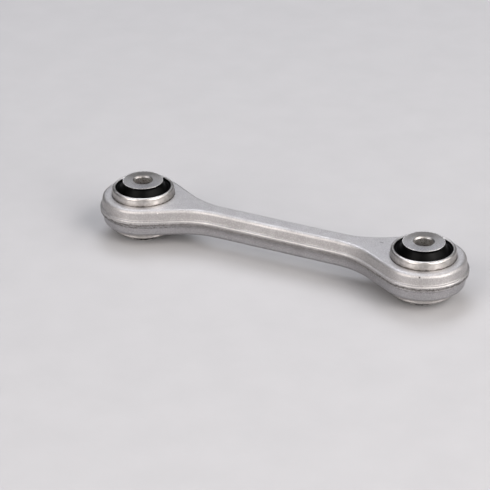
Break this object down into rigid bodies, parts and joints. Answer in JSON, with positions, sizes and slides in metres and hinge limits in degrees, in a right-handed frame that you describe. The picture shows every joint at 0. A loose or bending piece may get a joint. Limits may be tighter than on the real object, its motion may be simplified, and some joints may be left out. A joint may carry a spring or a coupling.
{
  "type": "anti-roll bar link",
  "caption": "Forged dog-bone anti-roll bar link with a sealed ball-sleeve joint pressed into each eye.",
  "frame": {"origin": "midway between the two ball centres, on the middle plane of the link", "axes": "+X along the arm from the left joint to the right one, +Z along both bores, +Y across the arm"},
  "size_m": [0.2704, 0.0604, 0.04],
  "materials": {
    "forged_aluminium": "shot-blasted forging",
    "housing_steel": "satin zinc plate",
    "turned_steel": "fine turned",
    "race_steel": "ground",
    "bearing_plastic": "moulded acetal",
    "slide_ring_plastic": "moulded nylon",
    "boot_rubber": "moulded rubber"
  },
  "bodies": {
    "arm": {"forged_arm": "forged_aluminium", "left_housing_sleeve": "housing_steel", "left_upper_race_ring": "race_steel", "left_upper_boot": "boot_rubber", "left_lower_race_ring": "race_steel", "left_lower_boot": "boot_rubber", "right_housing_sleeve": "housing_steel", "right_upper_race_ring": "race_steel", "right_upper_boot": "boot_rubber", "right_lower_race_ring": "race_steel", "right_lower_boot": "boot_rubber"},
    "left_bearing_shells": {"left_upper_bearing_shell": "bearing_plastic", "left_lower_bearing_shell": "bearing_plastic"},
    "left_slide_rings": {"left_upper_slide_ring": "slide_ring_plastic", "left_lower_slide_ring": "slide_ring_plastic"},
    "left_ball_sleeve": {"left_ball_sleeve": "turned_steel"},
    "right_bearing_shells": {"right_upper_bearing_shell": "bearing_plastic", "right_lower_bearing_shell": "bearing_plastic"},
    "right_slide_rings": {"right_upper_slide_ring": "slide_ring_plastic", "right_lower_slide_ring": "slide_ring_plastic"},
    "right_ball_sleeve": {"right_ball_sleeve": "turned_steel"}
  },
  "joints": [
    {"name": "left_roll", "type": "hinge", "parent": "arm", "child": "left_bearing_shells", "pos_m": [-0.105, 0, 0], "axis": [1, 0, 0], "range_deg": [-9, 9], "deforming": ["left_upper_boot", "left_lower_boot"]},
    {"name": "left_rock", "type": "hinge", "parent": "left_bearing_shells", "child": "left_slide_rings", "pos_m": [-0.105, 0, 0], "axis": [0, 1, 0], "range_deg": [-9, 9], "deforming": ["left_upper_boot", "left_lower_boot"]},
    {"name": "left_spin", "type": "hinge", "parent": "left_slide_rings", "child": "left_ball_sleeve", "pos_m": [-0.105, 0, 0], "axis": [0, 0, 1], "continuous": true},
    {"name": "right_roll", "type": "hinge", "parent": "arm", "child": "right_bearing_shells", "pos_m": [0.105, 0, 0], "axis": [1, 0, 0], "range_deg": [-9, 9], "deforming": ["right_upper_boot", "right_lower_boot"]},
    {"name": "right_rock", "type": "hinge", "parent": "right_bearing_shells", "child": "right_slide_rings", "pos_m": [0.105, 0, 0], "axis": [0, 1, 0], "range_deg": [-9, 9], "deforming": ["right_upper_boot", "right_lower_boot"]},
    {"name": "right_spin", "type": "hinge", "parent": "right_slide_rings", "child": "right_ball_sleeve", "pos_m": [0.105, 0, 0], "axis": [0, 0, 1], "continuous": true}
  ]
}
